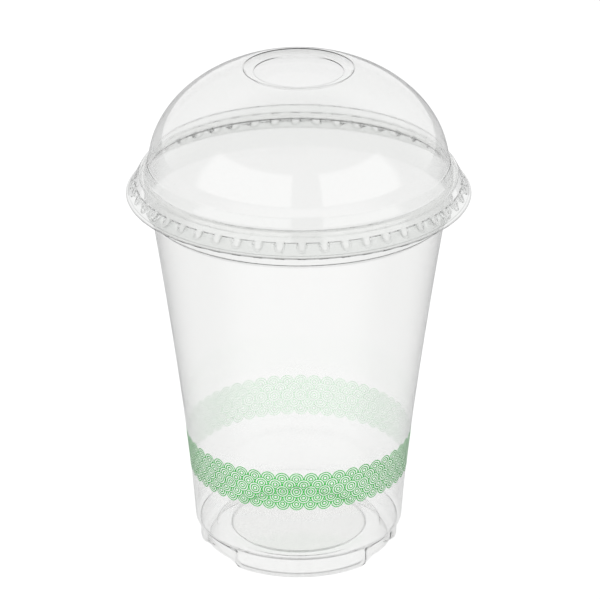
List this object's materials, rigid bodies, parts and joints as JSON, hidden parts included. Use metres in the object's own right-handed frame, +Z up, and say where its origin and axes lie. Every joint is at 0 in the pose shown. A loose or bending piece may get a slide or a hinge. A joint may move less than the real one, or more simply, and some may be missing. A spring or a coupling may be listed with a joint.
{
  "type": "plastic cup with lid",
  "caption": "Clear tapered drinking cup with a rolled rim, stepped foot and printed green band, under a clear domed lid with a round straw hole and a flanged skirt of tongues.",
  "frame": {"origin": "middle of the cup's foot, on the ground it stands on", "axes": "+Z up along the axis of cup and lid, -Y to the front"},
  "size_m": [0.101, 0.101, 0.1513],
  "materials": {
    "clear_cup": "clear, glossy, thin sheet",
    "green_ink": "green ink printed on the clear wall",
    "clear_lid": "clear, glossy, thin sheet"
  },
  "bodies": {
    "cup": {"cup": "clear_cup", "printed_band": "green_ink"},
    "lid": {"dome_lid": "clear_lid"}
  },
  "joints": [
    {"name": "lid_lift", "type": "slide", "parent": "cup", "child": "lid", "axis": [0, 0, 1], "range_m": [0, 0.06]}
  ]
}
